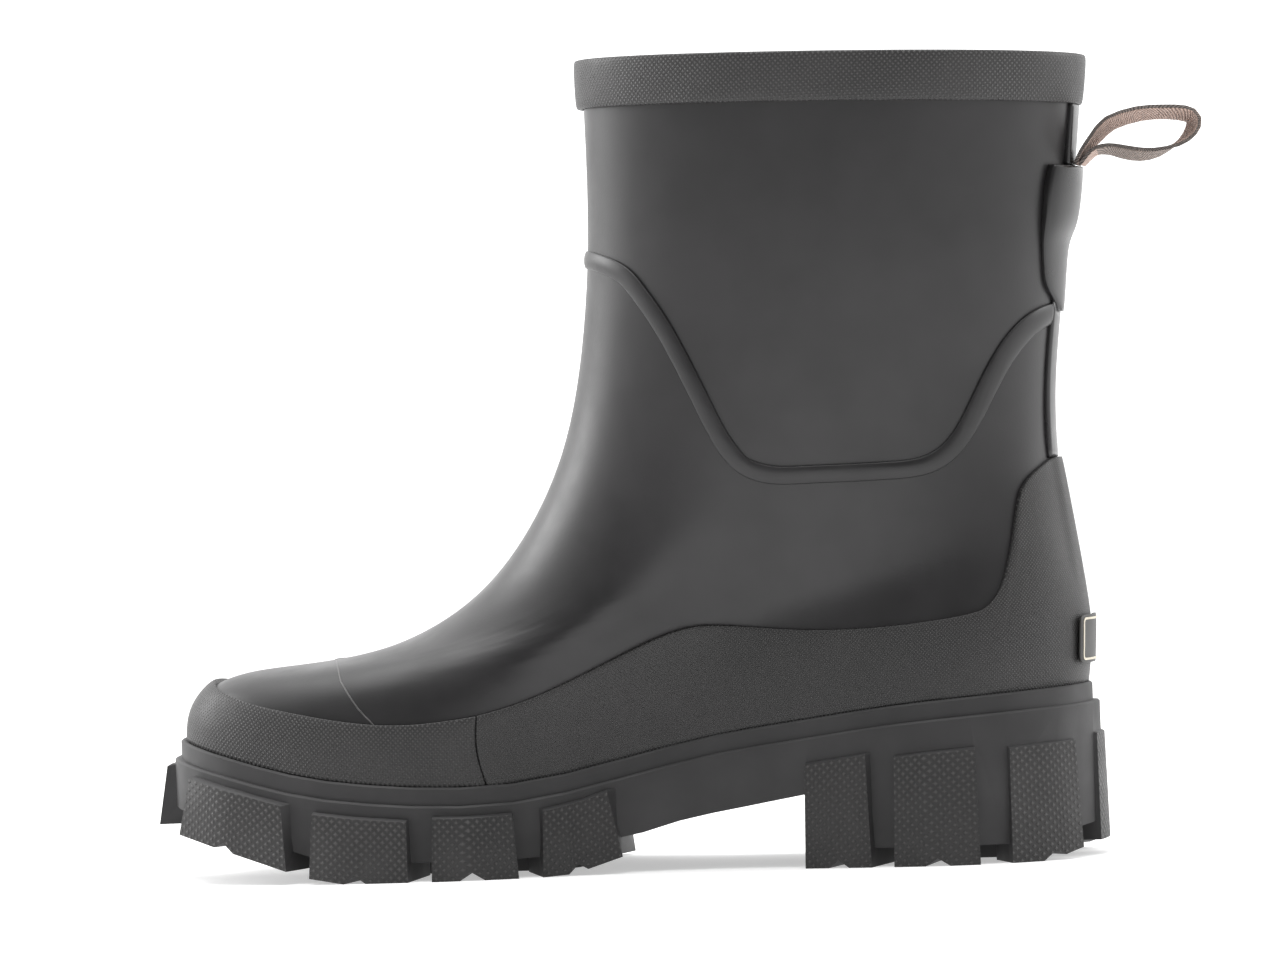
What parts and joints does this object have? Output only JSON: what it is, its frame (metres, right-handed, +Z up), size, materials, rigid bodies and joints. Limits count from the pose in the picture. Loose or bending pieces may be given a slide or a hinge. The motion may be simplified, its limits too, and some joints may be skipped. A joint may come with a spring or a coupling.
{
  "type": "rubber boot",
  "caption": "Short pull-on rubber boot with a round toe, lugged heel and sole, textured rands and a webbing pull loop; right foot, standing empty.",
  "frame": {"origin": "on the floor, under the middle of the heel", "axes": "+Z up, -X towards the toe, -Y towards the inner side of the foot"},
  "size_m": [0.3235, 0.1135, 0.2417],
  "materials": {
    "sole_rubber": "matt moulded rubber, studded on the faces of the tread blocks",
    "foot_bed": "matt textile over foam",
    "upper_rubber": "smooth rubber with a satin sheen",
    "rand_rubber": "matt rubber with a fine woven emboss",
    "band_rubber": "matt rubber with a fine diamond emboss",
    "webbing": "taupe ribbed webbing with dark edges",
    "badge_rubber": "plain dark plate with a pale frame"
  },
  "bodies": {
    "root": {"outsole": "sole_rubber", "insole": "foot_bed", "upper": "upper_rubber", "toe_rand": "rand_rubber", "heel_rand": "rand_rubber", "seam_tape": "upper_rubber", "collar_band": "band_rubber", "back_strip": "upper_rubber", "back_strip_top": "upper_rubber", "loop_tab": "upper_rubber", "pull_loop": "webbing", "heel_badge": "badge_rubber"}
  },
  "joints": []
}
